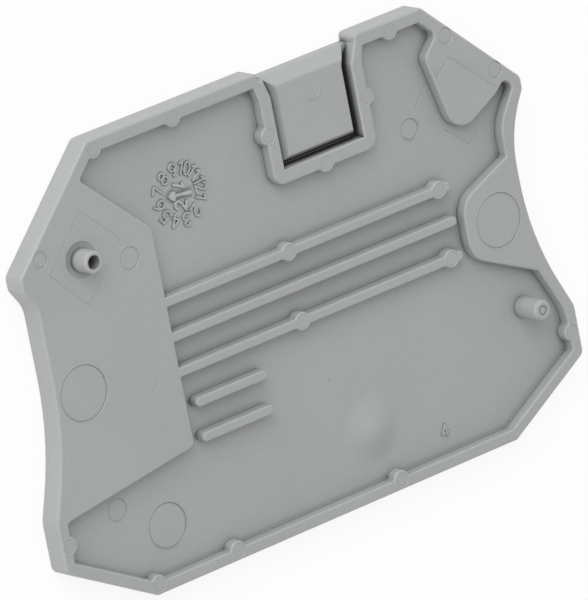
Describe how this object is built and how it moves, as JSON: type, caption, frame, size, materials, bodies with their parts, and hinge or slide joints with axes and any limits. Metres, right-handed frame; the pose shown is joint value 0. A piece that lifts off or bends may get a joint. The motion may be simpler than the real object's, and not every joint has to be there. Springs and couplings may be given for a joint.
{
  "type": "terminal block end cover",
  "caption": "Flat moulded end cover for a rail terminal block: raised rim, ribs, plateau, marker notch with pad, hollow snap peg and locating peg on the inner side.",
  "frame": {"origin": "centre of the cover's box on the plane of its smooth outer face, so the origin lies on the surface it rests on", "axes": "+X along the ribs, from the plateau side to the bay side; +Y from the foot to the edge with the marker notch; +Z out of the inner side, along the pegs"},
  "size_m": [0.0578, 0.0402, 0.004],
  "materials": {
    "grey_polyamide": "fine matte moulded surface, light grey"
  },
  "bodies": {
    "root": {"end_cover": "grey_polyamide"}
  },
  "joints": []
}
